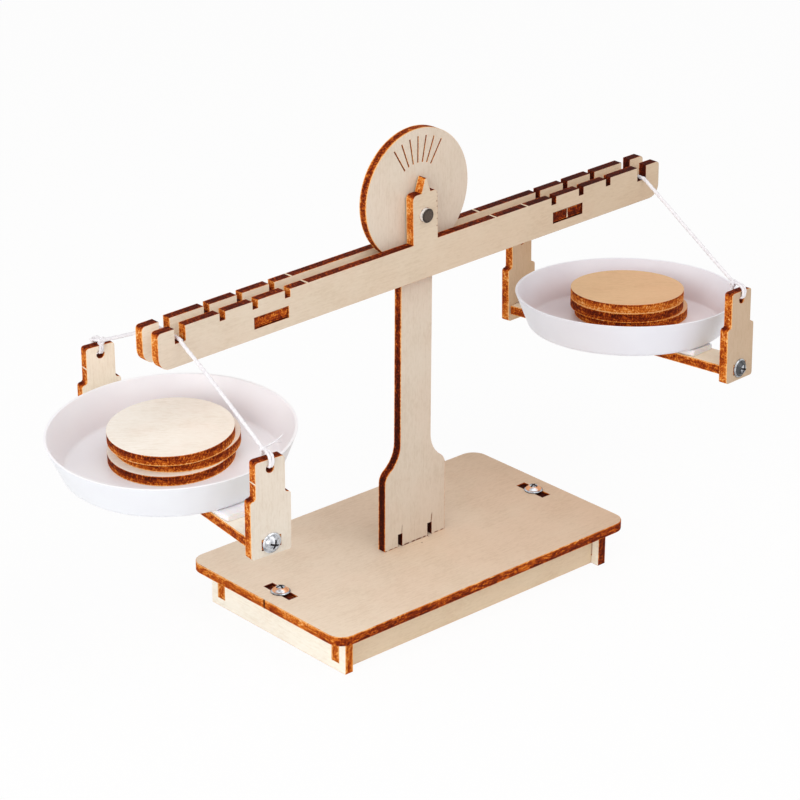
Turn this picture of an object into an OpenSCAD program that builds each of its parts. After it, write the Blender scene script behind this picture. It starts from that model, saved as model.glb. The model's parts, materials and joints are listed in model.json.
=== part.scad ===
// Balance scale toy: plywood base, post with a dial, two-plate beam, two hanging pans with loose discs.
// The origin is the centre of the base's underside, X runs along the beam, Y away from the dial side, Z up.

/* [Sheet] */
// Thickness of the plywood that every wooden piece is cut from
ply = 3; // [2.7:0.1:3.3]
// Gap on each side of a tab in its slot
tab_gap = 0.1; // [0.05:0.05:0.2]

/* [Base] */
// Length of the base plate, along the beam
base_l = 120; // [110:1:130]
// Width of the base plate, front to back
base_w = 70; // [64:1:80]
// Corner radius of the base plate
base_corner_r = 5; // [2:0.5:8]
// Height of the panels under the base plate
panel_h = 12; // [11:0.5:18]
// How far the end panels lie in from the ends of the plate
end_inset = 5.6; // [4:0.2:10]
// How far the edges of the end panels lie in from the sides of the plate
side_inset = 4; // [2:0.5:6]
// How far the long panels lie in from the edges of the end panels
long_inset = 3; // [1:0.5:5]
// Wood left under each open notch of an end panel
notch_floor = 2.8; // [2:0.2:5]
// Width of the tab on top of each end panel
end_tab_w = 11.4; // [8:0.2:16]
// How far the tab stops below the top of the plate
tab_recess = 0.7; // [0.2:0.1:1.2]

/* [Screws] */
// Diameter of the washer flange of each screw
flange_d = 6; // [5:0.2:6.6]
// Thickness of the washer flange
flange_t = 0.6; // [0.4:0.1:1]
// Diameter of the rounded head on the flange
head_d = 4.6; // [4:0.2:4.8]
// Height of the rounded head above the flange
head_h = 1.4; // [1:0.1:2]
// Diameter of the threaded shank
shank_d = 2.3; // [1.8:0.1:2.6]
// Length of the shank under the flange
shank_l = 6; // [4:0.5:7]
// Length of the cross recess from end to end
cross_l = 2.8; // [2:0.2:3.4]
// Width of each arm of the cross recess
cross_w = 0.6; // [0.4:0.1:0.8]
// Depth of the cross recess
cross_h = 0.9; // [0.5:0.1:1.2]
// Turn of the cross recess in the base screws
base_screw_turn = 12; // [0:1:45]
// Turn of the cross recess in the hanger screws
hanger_screw_turn = 20; // [0:1:45]

/* [Post] */
// Height of the beam's pivot above the base plate
pivot_rise = 108; // [95:1:120]
// Width of the foot of the post
foot_w = 24.8; // [20:0.2:30]
// Height of the straight sides of the foot
foot_h = 22.5; // [15:0.5:30]
// Radius of the outer turn of the shoulder
shoulder_r = 4.5; // [3:0.5:5]
// Angle that the shoulder turns through
shoulder_angle = 55; // [45:1:75]
// Width of the neck of the post
neck_w = 12.4; // [10:0.2:14]
// Width of the tenon that goes down through the base plate
tenon_w = 10.5; // [8:0.1:12]
// Width of the slit on each side of the tenon
slit_w = 1.75; // [1:0.05:2.2]
// Height of the slits above the base plate
slit_h = 4.2; // [2:0.2:8]

/* [Dial] */
// Radius of the round dial at the head of the post
dial_r = 20.2; // [16:0.2:24]
// Height of the dial's centre above the pivot
dial_rise = 5.5; // [3:0.5:8]
// Number of ticks on each side of the middle one
tick_side_count = 3; // [1:1:4]
// Angle between two ticks
tick_step = 10.5; // [6:0.5:12]
// Distance from the dial's centre to the inner end of a tick
tick_r = 9.8; // [8:0.2:11]
// Length of a tick
tick_l = 8; // [4:0.2:9]
// Width of a tick
tick_w = 0.4; // [0.3:0.05:0.6]
// Depth of a tick
tick_depth = 0.2; // [0.1:0.05:0.4]

/* [Axle] */
// Diameter of the axle pin
pin_d = 4.4; // [3.5:0.1:5]
// How far each end of the pin stands out of the beam
pin_proud = 1.4; // [1:0.1:4]
// Chamfer at the ends of the pin
pin_chamfer = 0.3; // [0.1:0.1:0.5]
// Clearance round the pin in the beam
pin_play = 0.05; // [0.02:0.01:0.09]
// Clearance round the pin in the post that grips it
pin_grip = 0.02; // [0.01:0.01:0.03]

/* [Beam] */
// Length of the beam
beam_l = 200; // [180:1:220]
// Depth of the beam's bar
beam_h = 11.5; // [10:0.5:14]
// Distance from the pivot down to the top edge of the bar
beam_drop = 8.5; // [6:0.5:12]
// Gap between the post and each plate of the beam
beam_gap = 0.5; // [0.3:0.1:1]
// How far the left end of the beam hangs down at rest, as an angle
rest_tilt = 1.3; // [0:0.1:3]
// Radius of the upper corners of the beam's ends
end_top_r = 1.2; // [0.6:0.2:2]
// Radius of the lower corners of the beam's ends
end_low_r = 4; // [2:0.5:5]
// Distance from the beam's end to the middle of the deep notch
hang_inset = 7.8; // [6:0.2:9]
// Width of the deep notch that a cord hangs in
hang_notch_w = 3.8; // [2.8:0.1:4.2]
// Depth of the deep notch
hang_notch_h = 4.5; // [3.5:0.1:5]
// Distance from the deep notch to the first shallow notch
first_pitch = 15.1; // [12:0.1:18]
// Distance between two shallow notches
notch_pitch = 11.9; // [10:0.1:12]
// Number of shallow notches on each arm
notch_count = 3; // [1:1:3]
// Width of a shallow notch
notch_w = 2; // [1:0.1:3]
// Depth of a shallow notch
notch_h = 2.4; // [1.5:0.1:3]
// Width of the tab round the pivot
hub_w = 9.7; // [8:0.1:12]
// Height of the tab above the pivot
hub_h = 6.9; // [5:0.1:8]
// Radius of the tab's corners
hub_r = 1.5; // [0.5:0.1:2.5]
// Width of the pointer at its base
pointer_w = 3.5; // [2.5:0.1:4.5]
// Height of the pointer above the tab
pointer_h = 4.4; // [3:0.1:6]
// Width of the pointer's tip
pointer_tip = 0.5; // [0.3:0.1:0.8]
// Sideways place of the pointer
pointer_shift = 0.3; // [-0.5:0.1:0.5]

/* [Spacers] */
// Distance from the pivot to the near end of a spacer's window
window_x = 53; // [45:0.5:56]
// Length of a spacer's window
window_l = 12.8; // [10:0.2:14]
// Wood left under a spacer's window
window_floor = 2.9; // [2.5:0.1:4]
// Room above and below the spacer in its window
window_gap = 0.3; // [0.1:0.05:0.4]
// Room at each end of the spacer's tab in its window
window_end_gap = 0.3; // [0.1:0.05:0.4]
// How far the tab stops below the outer face of the plate
spacer_recess = 0.3; // [0:0.1:0.5]
// How far each shoulder of a spacer reaches past its tab
spacer_shoulder = 1.8; // [1:0.1:3]

/* [Pan frames] */
// Radius of the pan's rim
pan_r = 36; // [32:0.5:38]
// Radius of the pan's floor
pan_floor_r = 31.4; // [29:0.2:33]
// Height of the pan
pan_h = 11.4; // [10.4:0.2:14]
// Thickness of the pan's wall
pan_wall = 0.8; // [0.6:0.1:1.2]
// Outer radius of the turn between the pan's floor and its side
pan_turn_r = 2; // [1.6:0.2:4]
// Room between the pan's rim and each hanger
pan_room = 7.35; // [6:0.05:10]
// Height of a hanger
hanger_h = 29.2; // [27:0.2:33]
// Width of the lower part of a hanger
hanger_w = 13.1; // [11:0.1:14]
// Width of the upper part of a hanger
hanger_top_w = 9.5; // [8:0.1:10]
// Height of the lower part of a hanger
hanger_step = 17; // [14:0.5:19]
// Radius of the turns and corners of a hanger
hanger_r = 0.9; // [0.6:0.1:1.2]
// Distance from the hole's centre to the top of a hanger
hole_drop = 2.7; // [2.4:0.1:3.5]
// Diameter of the hole that the cord goes through
hole_d = 2.7; // [2.2:0.1:3]
// Height of the crossbar above the hangers' lower edges
bar_z = 2.3; // [2:0.1:4]
// Width of the crossbar
bar_w = 11.2; // [9:0.2:13]
// Width of the crossbar's end tabs
bar_tab_w = 6.1; // [4.5:0.1:7]
// Room above and below the crossbar's tab in its slot
bar_gap = 0.2; // [0.1:0.05:0.3]
// Width of the foam pad
pad_w = 11; // [8:0.2:12]
// Length of the foam pad
pad_l = 64; // [40:1:70]
// Thickness of the foam pad along its middle
pad_t = 2; // [1:0.1:3]

/* [Discs] */
// Radius of a wooden weight disc
disc_r = 18.3; // [16:0.1:20]
// Gap under each disc
disc_gap = 0.1; // [0.05:0.05:0.15]

/* [Cords] */
// Diameter of the cord
cord_d = 1.2; // [1:0.1:1.6]
// Diameter of each knot
knot_d = 3; // [2.4:0.1:3.2]

/* [Hanging at rest] */
// Drop from the left notches to the holes of the left hangers
left_drop = 21.5; // [20:0.5:24]
// Drop from the right notches to the holes of the right hangers
right_drop = 31.5; // [29:0.5:34]
// Sideways place of the left holes from the left notches
left_shift = 2; // [0:0.1:3]
// Sideways place of the right holes from the right notches
right_shift = 0.5; // [-1:0.1:3]
// Place of the left frame along Y
left_y = -1; // [-2:0.1:2]
// Place of the right frame along Y
right_y = 1.1; // [-2:0.1:2]
// Turn of the left frame about Z
left_yaw = -6.5; // [-8:0.5:8]
// Turn of the right frame about Z
right_yaw = 5; // [-8:0.5:8]
// Lean of the left frame towards the front
left_pitch = 1.5; // [-3:0.5:3]
// Lean of the right frame towards the front
right_pitch = -2.5; // [-3:0.5:3]
// Rock of the left frame about its holes
left_roll = -1.3; // [-3:0.1:3]
// Rock of the right frame about its holes
right_roll = 1.6; // [-3:0.1:3]
// Lean of the left pan on its soft pad, to the left where it is below zero
left_pan_lean = -2; // [-5:0.5:5]
// Lean of the right pan on its soft pad, to the right where it is above zero
right_pan_lean = 0.9; // [-5:0.1:5]
// Place of the left pan on its pad, across and along it
left_pan_place = [-0.7, 3.1]; // [-3:0.1:4]
// Place of the right pan on its pad, across and along it
right_pan_place = [0.4, -0.6]; // [-3:0.1:4]
// Place of the left top disc over its pad
left_disc_place = [1.3, 6.7]; // [-1:0.1:7]
// Place of the right top disc over its pad
right_disc_place = [6.7, 4.3]; // [-1:0.1:7]
// How far the left middle disc lies from the top one
left_middle_slip = [2.3, 0.8]; // [-1:0.1:3]
// How far the left bottom disc lies from the top one
left_bottom_slip = [-0.3, -0.1]; // [-1:0.1:3]
// How far the right middle disc lies from the top one
right_middle_slip = [0.2, 0.2]; // [-1:0.1:3]
// How far the right bottom disc lies from the top one
right_bottom_slip = [2.2, 0]; // [-1:0.1:3]

/* [Hidden] */
cut = 1;
shank_gap = 0.05;
turn_steps = 6;
plate_z = panel_h;
plate_top = plate_z + ply;
end_x = base_l / 2 - end_inset;
end_half = base_w / 2 - side_inset;
long_y = end_half - long_inset - ply / 2;
end_mid = end_x - ply / 2;
pivot_z = plate_top + pivot_rise;
beam_y = ply / 2 + beam_gap + ply / 2;
bar_low = beam_drop + beam_h;
hang_u = beam_l / 2 - hang_inset;
hang_v = -beam_drop - hang_notch_h;
window_v = -bar_low + window_floor + ply / 2 + window_gap;
span_in = pan_r + pan_room;
hole_z = hanger_h - hole_drop;
pad_z = bar_z + ply;
pan_z = pad_z + pad_t;
disc_z = pan_wall + disc_gap;
notch_slot_l = shank_l + shank_gap;
birch = "#e6d3b4";
burnt = "#8a4b22";
zinc = "#c9ccd0";
white = "#f4f2f4";

// Cord routes. Each main run goes from the front knot over both plates to the back knot.
left_run = [
    [-94.8, -43.7, 89.8], [-94.4, -39.5, 91.9], [-94, -34, 94.6], [-93.6, -28, 97.6], [-93.2, -22, 100.6],
    [-92.8, -16, 103.5], [-92.5, -8, 107.4], [-92.3, -5.9, 108.4], [-92.1, -4.9, 108.8], [-91.1, 4.9, 108.8],
    [-90.9, 5.9, 108.4], [-90.6, 8, 107.5], [-89.2, 16, 103.9], [-88.2, 22, 101.1], [-87.3, 28, 98.3],
    [-86.4, 34, 95.5], [-85.6, 39, 93.2], [-85.2, 41.5, 92]
];
right_run = [
    [96.8, -41.3, 87.2], [96.6, -39, 88.9], [96, -34, 92.4], [95.4, -28, 96.7], [94.7, -22, 101],
    [94, -16, 105.4], [93.1, -8, 111.1], [92.9, -5.9, 112.5], [92.8, -4.9, 112.8], [92.8, 4.9, 112.8],
    [92.7, 5.9, 112.5], [92.5, 8, 111.1], [91.8, 16, 105], [91.3, 22, 100.3], [90.8, 28, 95.7],
    [90.2, 34, 91], [89.7, 40, 86.3], [89.4, 44, 83.2]
];
// Loop through a hanger's hole from the knot and back; its zero is the hole's centre and -Y is outward.
loop_run = [
    [0, 2, 4.5], [0, -0.8, 4.1], [0, -1.9, 3.2], [0, -2.2, 2], [0, -2, 1], [0, -1.3, 0.6],
    [0, 1.3, 0.6], [0, 2, 1], [0, 2.3, 2.4], [0, 2, 4.5]
];
// Loose end of the cord, from the knot outward.
tail_run = [[0, 2, 4.5], [1.6, 1.9, 4.9], [3.2, 1.8, 5.4]];

function unit(v) = v / norm(v);
function way(p, i) = unit(p[min(i + 1, len(p) - 1)] - p[max(i - 1, 0)]);
function ring(p, i, side, sides) = let (t = way(p, i), a = unit(cross(t, side)), b = cross(t, a))
    [for (k = [0 : sides - 1]) p[i] + cord_d / 2 * (cos(360 * k / sides) * a + sin(360 * k / sides) * b)];
function arc(x, z, r, from, to) = [for (i = [0 : turn_steps])
    let (a = from + (to - from) * i / turn_steps) [x + r * cos(a), z + r * sin(a)]];
function both_sides(p) = concat(p, [for (i = [len(p) - 1 : -1 : 0]) [-p[i][0], p[i][1]]]);
// Shoulder that turns in from half width a to half width b, as one outer and one inner arc.
function shoulder(a, b, z, r, turn) =
    let (inner = (a - r + r * cos(turn) - b) / (1 - cos(turn)), top = z + (r + inner) * sin(turn))
    concat(arc(a - r, z, r, 0, turn), arc(b + inner, top, inner, 180 + turn, 180));
function box_outline(l, w, r) = both_sides(concat(arc(l / 2 - r, r - w / 2, r, -90, 0),
    arc(l / 2 - r, w / 2 - r, r, 0, 90)));

// Stands a flat outline upright, centred on a plane of constant y.
module upright(y, t) {
    translate([0, y + t / 2, 0]) rotate([90, 0, 0]) linear_extrude(t) children();
}

module centred_slot(x, y, l, w) {
    translate([x - l / 2, y - w / 2]) square([l, w]);
}

// Screw with its seat at z = 0 and its shank pointing down.
module screw() {
    dome_r = (pow(head_d / 2, 2) + pow(head_h, 2)) / (2 * head_h);
    dome_angle = acos((dome_r - head_h) / dome_r);
    difference() {
        union() {
            rotate_extrude($fn = 48) polygon(concat(
                [[0, 0], [flange_d / 2, 0], [flange_d / 2, flange_t / 2], [head_d / 2 + flange_t / 2, flange_t]],
                arc(0, flange_t + head_h - dome_r, dome_r, 90 - dome_angle, 90)));
            translate([0, 0, -shank_l]) cylinder(h = shank_d, d1 = shank_d / 4, d2 = shank_d, $fn = 32);
            translate([0, 0, -shank_l + shank_d]) cylinder(h = shank_l - shank_d, d = shank_d, $fn = 32);
        }
        for (turn = [0, 90]) rotate([0, 0, turn])
            translate([-cross_l / 2, -cross_w / 2, flange_t + head_h - cross_h])
                cube([cross_l, cross_w, cross_h + cut]);
    }
}

module base_plate() {
    color(birch) translate([0, 0, plate_z]) linear_extrude(ply) difference() {
        polygon(box_outline(base_l, base_w, base_corner_r));
        centred_slot(0, 0, tenon_w + 2 * tab_gap, ply + 2 * tab_gap);
        for (side = [-1, 1])
            centred_slot(side * end_mid, 0, ply + 4 * tab_gap, end_tab_w + 2 * tab_gap);
    }
}

// Outline of an end panel across the base, y to the right and z up.
module end_outline() {
    difference() {
        union() {
            translate([-end_half, 0]) square([2 * end_half, panel_h]);
            translate([-end_tab_w / 2, 0]) square([end_tab_w, plate_top - tab_recess]);
        }
        for (side = [-1, 1]) translate([side * long_y - ply / 2 - tab_gap, notch_floor])
            square([ply + 2 * tab_gap, panel_h]);
        translate([-shank_d / 2 - shank_gap, plate_top - notch_slot_l])
            square([shank_d + 2 * shank_gap, notch_slot_l]);
    }
}

module end_panel(side) {
    color(birch) translate([side * end_mid - ply / 2, 0, 0])
        rotate([90, 0, 90]) linear_extrude(ply) end_outline();
}

module long_panel(side) {
    inner = end_x - ply - tab_gap;
    color(birch) upright(side * long_y, ply) polygon(both_sides([
        [inner, 0], [inner, notch_floor + tab_gap], [end_x, notch_floor + tab_gap], [end_x, panel_h]
    ]));
}

module base_screws() {
    color(zinc) for (side = [-1, 1]) translate([side * end_mid, 0, plate_top])
        rotate([0, 0, side * base_screw_turn]) screw();
}

// Outline of the post: tenon, slits, foot, shoulder and neck.
module post_outline() {
    tenon = tenon_w / 2;
    difference() {
        union() {
            polygon(both_sides(concat(
                [[tenon, plate_z + tab_gap], [tenon, plate_top + slit_h], [tenon + slit_w, plate_top + slit_h],
                [tenon + slit_w, plate_top], [foot_w / 2, plate_top]],
                shoulder(foot_w / 2, neck_w / 2, plate_top + foot_h, shoulder_r, shoulder_angle),
                [[neck_w / 2, pivot_z]])));
            translate([0, pivot_z + dial_rise]) circle(r = dial_r, $fn = 128);
        }
        translate([0, pivot_z]) circle(r = pin_d / 2 + pin_grip, $fn = 64);
    }
}

module post() {
    color(birch) difference() {
        upright(0, ply) post_outline();
        for (i = [-tick_side_count : tick_side_count]) translate([0, 0, pivot_z + dial_rise])
            rotate([0, i * tick_step, 0]) translate([-tick_w / 2, -ply / 2 - cut, tick_r])
                cube([tick_w, cut + tick_depth, tick_l]);
    }
}

module axle_pin() {
    half = beam_y + ply / 2 + pin_proud;
    color(zinc) translate([0, 0, pivot_z]) rotate([90, 0, 0]) rotate_extrude($fn = 64) polygon([
        [0, -half], [pin_d / 2 - pin_chamfer, -half], [pin_d / 2, -half + pin_chamfer],
        [pin_d / 2, half - pin_chamfer], [pin_d / 2 - pin_chamfer, half], [0, half]
    ]);
}

// The beam is drawn level about its pivot, then leaned to its rest angle.
module on_beam() {
    translate([0, 0, pivot_z]) rotate([0, -rest_tilt, 0]) children();
}

module beam_outline() {
    half = beam_l / 2;
    difference() {
        union() {
            polygon(both_sides(concat(
                arc(half - end_low_r, end_low_r - bar_low, end_low_r, -90, 0),
                arc(half - end_top_r, -beam_drop - end_top_r, end_top_r, 0, 90),
                [[hub_w / 2, -beam_drop]],
                arc(hub_w / 2 - hub_r, hub_h - hub_r, hub_r, 0, 90))));
            translate([pointer_shift, hub_h]) polygon(both_sides([
                [pointer_w / 2, -hub_r], [pointer_w / 2, 0], [pointer_tip / 2, pointer_h]
            ]));
        }
        circle(r = pin_d / 2 + pin_play, $fn = 64);
        for (side = [-1, 1]) {
            centred_slot(side * (window_x + window_l / 2), window_v, window_l, ply + 2 * window_gap);
            centred_slot(side * hang_u, -beam_drop, hang_notch_w, 2 * hang_notch_h);
            for (i = [0 : notch_count - 1])
                centred_slot(side * (hang_u - first_pitch - i * notch_pitch), -beam_drop, notch_w, 2 * notch_h);
        }
    }
}

module beam_plate(side) {
    color(birch) on_beam() upright(side * beam_y, ply) beam_outline();
}

// Flat cross piece that keeps the two plates apart, with a tab through each plate's window.
module spacer(side) {
    tab = window_l / 2 - window_end_gap;
    color(birch) on_beam() translate([side * (window_x + window_l / 2), 0, window_v - ply / 2])
        linear_extrude(ply) {
            square([2 * tab, 2 * beam_y + ply - 2 * spacer_recess], center = true);
            square([2 * (tab + spacer_shoulder), ply + 2 * beam_gap - 2 * tab_gap], center = true);
        }
}

// Middle of the line through the two holes of a frame, under the beam's notches at rest.
function holes_at(side) =
    let (u = side * hang_u, shift = side < 0 ? left_shift : right_shift, drop = side < 0 ? left_drop : right_drop)
    [u * cos(rest_tilt) - hang_v * sin(rest_tilt) + shift, side < 0 ? left_y : right_y,
    pivot_z + u * sin(rest_tilt) + hang_v * cos(rest_tilt) - drop];

// Places what hangs on one side; its own zero is the middle of the line through the holes.
module on_holes(side) {
    translate(holes_at(side))
        rotate([0, 0, side < 0 ? left_yaw : right_yaw])
            rotate([side < 0 ? left_pitch : right_pitch, 0, 0])
                rotate([0, side < 0 ? left_roll : right_roll, 0]) children();
}

// The same, with its zero at the middle of the frame's underside.
module on_frame(side) {
    on_holes(side) translate([0, 0, -hole_z]) children();
}

module hanger_outline() {
    difference() {
        polygon(both_sides(concat(
            arc(hanger_w / 2 - hanger_r, hanger_r, hanger_r, -90, 0),
            shoulder(hanger_w / 2, hanger_top_w / 2, hanger_step, hanger_r, 90),
            arc(hanger_top_w / 2 - hanger_r, hanger_h - hanger_r, hanger_r, 0, 90))));
        translate([0, hole_z]) circle(d = hole_d, $fn = 48);
        centred_slot(0, bar_z + ply / 2, bar_tab_w + 2 * tab_gap, ply + 2 * bar_gap);
    }
}

module hanger(side, end) {
    color(birch) on_frame(side) upright(end * (span_in + ply / 2), ply) hanger_outline();
}

module crossbar(side) {
    color(birch) on_frame(side) translate([0, 0, bar_z]) linear_extrude(ply) difference() {
        union() {
            square([bar_w, 2 * span_in], center = true);
            square([bar_tab_w, 2 * (span_in + ply)], center = true);
        }
        for (end = [-1, 1]) centred_slot(0, end * (span_in + ply), shank_d + 2 * shank_gap, 2 * notch_slot_l);
    }
}

module hanger_screws(side) {
    color(zinc) on_frame(side) for (end = [-1, 1]) translate([0, end * (span_in + ply), bar_z + ply / 2])
        rotate([-end * 90, 0, 0]) rotate([0, 0, end * hanger_screw_turn]) screw();
}

function pan_lean(side) = side < 0 ? left_pan_lean : right_pan_lean;

// Places what lies on the leaning top of a foam pad; its zero is the middle of that top.
module on_pad(side) {
    on_frame(side) translate([0, 0, pan_z]) rotate([0, pan_lean(side), 0]) children();
}

// The pad is soft, so its top leans with the pan.
module foam_pad(side) {
    rise = pad_w / 2 * tan(pan_lean(side));
    color(white) on_frame(side) translate([0, 0, pad_z]) upright(0, pad_l)
        polygon([[-pad_w / 2, 0], [pad_w / 2, 0], [pad_w / 2, pad_t - rise], [-pad_w / 2, pad_t + rise]]);
}

module pan(side) {
    place = side < 0 ? left_pan_place : right_pan_place;
    slope = atan2(pan_h, pan_r - pan_floor_r);
    turn_x = pan_floor_r - pan_turn_r * tan(slope / 2);
    inner = arc(turn_x, pan_turn_r, pan_turn_r - pan_wall, -90, slope - 90);
    color(white) on_pad(side) translate(place) rotate_extrude($fn = 128)
        polygon(concat([[0, 0]], arc(turn_x, pan_turn_r, pan_turn_r, -90, slope - 90),
            [[pan_r, pan_h], [pan_r - pan_wall / sin(slope), pan_h]],
            [for (i = [len(inner) - 1 : -1 : 0]) inner[i]], [[0, pan_wall]]));
}

// One disc of the stack, counted from the pan's floor.
module disc(side, place, slip, level) {
    color(birch) on_pad(side)
        translate([place[0] + slip[0], place[1] + slip[1], disc_z + level * (ply + disc_gap)])
            cylinder(r = disc_r, h = ply, $fn = 128);
}

// Tube swept along a list of points; side is a direction that the route never takes.
module tube(p, side, sides = 8) {
    last = (len(p) - 1) * sides;
    polyhedron(
        points = [for (i = [0 : len(p) - 1]) each ring(p, i, side, sides)],
        faces = concat(
            [for (i = [0 : len(p) - 2], k = [0 : sides - 1]) let (n = (k + 1) % sides, a = i * sides)
                [a + k, a + sides + k, a + n]],
            [for (i = [0 : len(p) - 2], k = [0 : sides - 1]) let (n = (k + 1) % sides, a = i * sides)
                [a + n, a + sides + k, a + sides + n]],
            [for (k = [1 : sides - 2]) [0, k, k + 1]],
            [for (k = [1 : sides - 2]) [last, last + k + 1, last + k]]));
}

// The cord over the beam, with a knot, a loop and a loose end at each hanger.
module cord(side) {
    color(white) {
        tube(side < 0 ? left_run : right_run, [1, 0, 0]);
        on_holes(side) for (end = [-1, 1]) translate([0, end * (span_in + ply / 2), 0])
            rotate([0, 0, end < 0 ? 0 : 180]) {
                tube(loop_run, [1, 0, 0]);
                mirror([side < 0 ? 0 : 1, 0, 0]) tube(tail_run, [0, 1, 0]);
                translate(loop_run[0]) sphere(d = knot_d, $fn = 12);
            }
    }
}

base_plate();
end_panel(-1);  // left_end_panel
end_panel(1);  // right_end_panel
long_panel(-1);  // front_panel
long_panel(1);  // back_panel
base_screws();
post();
axle_pin();
beam_plate(-1);  // front_beam_plate
beam_plate(1);  // back_beam_plate
spacer(-1);  // left_spacer
spacer(1);  // right_spacer
cord(-1);  // left_cord
hanger(-1, -1);  // left_front_hanger
hanger(-1, 1);  // left_back_hanger
crossbar(-1);  // left_crossbar
hanger_screws(-1);  // left_hanger_screws
foam_pad(-1);  // left_foam_pad
pan(-1);  // left_pan
disc(-1, left_disc_place, left_bottom_slip, 0);  // left_disc_bottom
disc(-1, left_disc_place, left_middle_slip, 1);  // left_disc_middle
disc(-1, left_disc_place, [0, 0], 2);  // left_disc_top
cord(1);  // right_cord
hanger(1, -1);  // right_front_hanger
hanger(1, 1);  // right_back_hanger
crossbar(1);  // right_crossbar
hanger_screws(1);  // right_hanger_screws
foam_pad(1);  // right_foam_pad
pan(1);  // right_pan
disc(1, right_disc_place, right_bottom_slip, 0);  // right_disc_bottom
disc(1, right_disc_place, right_middle_slip, 1);  // right_disc_middle
disc(1, right_disc_place, [0, 0], 2);  // right_disc_top
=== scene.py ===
"""Looks of a plywood balance scale toy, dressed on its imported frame."""

import json
import math

import bpy
from mathutils import Matrix, Vector


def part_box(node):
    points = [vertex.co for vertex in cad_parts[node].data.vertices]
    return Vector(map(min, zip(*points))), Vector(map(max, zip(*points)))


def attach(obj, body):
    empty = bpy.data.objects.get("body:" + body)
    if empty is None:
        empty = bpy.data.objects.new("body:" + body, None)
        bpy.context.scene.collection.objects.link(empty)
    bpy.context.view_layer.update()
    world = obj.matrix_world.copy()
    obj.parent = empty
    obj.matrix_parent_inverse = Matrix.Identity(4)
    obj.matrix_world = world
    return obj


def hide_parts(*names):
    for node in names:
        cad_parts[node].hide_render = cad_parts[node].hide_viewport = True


MM = 0.001
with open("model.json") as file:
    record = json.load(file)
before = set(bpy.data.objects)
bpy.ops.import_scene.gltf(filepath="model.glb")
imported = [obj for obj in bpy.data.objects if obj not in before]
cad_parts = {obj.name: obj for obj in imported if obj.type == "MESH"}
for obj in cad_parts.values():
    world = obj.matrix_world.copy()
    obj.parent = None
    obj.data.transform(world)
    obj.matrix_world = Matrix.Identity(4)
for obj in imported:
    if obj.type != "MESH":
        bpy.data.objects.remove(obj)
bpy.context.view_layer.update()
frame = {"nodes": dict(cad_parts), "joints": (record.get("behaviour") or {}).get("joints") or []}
nodes = frame["nodes"]
joints = {joint["name"]: joint for joint in frame["joints"]}
scene = bpy.context.scene

# The camera stands to the left of the dial side and looks down on the toy.
# It is far back behind a long lens, so the beam's two ends are nearly at one scale.
camera_turn = math.radians(42.321)
camera_fall = math.radians(23.782)
camera_lean = math.radians(0.316)
camera_place = Vector((-550.707, -599.112, 420.536)) * MM
lens_mm = 132.06
sensor_mm = 36

ahead = Vector((
    math.sin(camera_turn) * math.cos(camera_fall),
    math.cos(camera_turn) * math.cos(camera_fall),
    -math.sin(camera_fall),
))
level_right = ahead.cross(Vector((0, 0, 1))).normalized()
level_up = level_right.cross(ahead)
right = level_right * math.cos(camera_lean) + level_up * math.sin(camera_lean)
up = level_up * math.cos(camera_lean) - level_right * math.sin(camera_lean)
lens = bpy.data.cameras.new("camera")
lens.lens = lens_mm
lens.sensor_width = sensor_mm
camera = bpy.data.objects.new("camera", lens)
camera.matrix_world = Matrix.Translation(camera_place) @ Matrix((right, up, -ahead)).transposed().to_4x4()
scene.collection.objects.link(camera)
scene.camera = camera

# The table is a white board that runs past the picture, under a white room.
# Soft lamps stand high in front and at the left, and a low one lights what the left pan would shade.
table_half = 6.0
table_depth = -0.02 * MM
table_glow = 0.92
table_white = (0.93, 0.93, 0.93, 1)
room_light = 0.66
room_colour = (1.0, 0.985, 0.98, 1)
lamp_aim = Vector((0, 0, 0.07))
# Each lamp's place and width in metres, its power in watts, and its colour.
lamps = {
    "front_lamp": ((0.1, -0.65, 0.85), 0.9, 2.5, (1.0, 0.985, 0.965)),
    "left_lamp": ((-0.75, -0.4, 0.66), 0.9, 2.3, (1.0, 0.99, 0.98)),
    "low_lamp": ((-0.95, -0.25, 0.3), 0.7, 2.3, (1.0, 0.99, 0.98)),
}


def fill(tree, node, sockets):
    """Gives each named socket of a node a value, or links it to another node's output."""
    for name, value in sockets.items():
        if isinstance(value, bpy.types.NodeSocket):
            tree.links.new(value, node.inputs[name])
        else:
            node.inputs[name].default_value = value


def put(tree, kind, sockets=None, **settings):
    """Adds a shader node, with its settings and what goes into its sockets."""
    made = tree.nodes.new("ShaderNode" + kind)
    for name, value in settings.items():
        setattr(made, name, value)
    fill(tree, made, sockets or {})
    return made


def sees_white(tree):
    """1 for the rays that see the background, in the picture or in metal, and 0 for the rest."""
    rays = put(tree, "LightPath").outputs
    seen = put(tree, "Math", {0: rays["Is Camera Ray"], 1: rays["Is Glossy Ray"]}, operation="MAXIMUM")
    any_ray = put(tree, "Math", {0: seen.outputs[0], 1: rays["Is Transmission Ray"]}, operation="MAXIMUM")
    return any_ray.outputs[0]


room = bpy.data.worlds.new("white_room")
room.use_nodes = True
air = room.node_tree
air.nodes.clear()
lit = put(air, "Background", {"Color": room_colour, "Strength": room_light})
white = put(air, "Background", {"Color": (1, 1, 1, 1), "Strength": 1.0})
either = put(air, "MixShader", {0: sees_white(air), 1: lit.outputs[0], 2: white.outputs[0]})
put(air, "OutputWorld", {"Surface": either.outputs[0]})
scene.world = room
scene.view_settings.view_transform = "Standard"

for name, (place, size, power, colour) in lamps.items():
    lamp = bpy.data.lights.new(name, "AREA")
    lamp.shape = "DISK"
    lamp.size = size
    lamp.energy = power
    lamp.color = colour
    stand = bpy.data.objects.new(name, lamp)
    stand.location = place
    stand.rotation_euler = (lamp_aim - Vector(place)).to_track_quat("-Z", "Y").to_euler()
    scene.collection.objects.link(stand)

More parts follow.
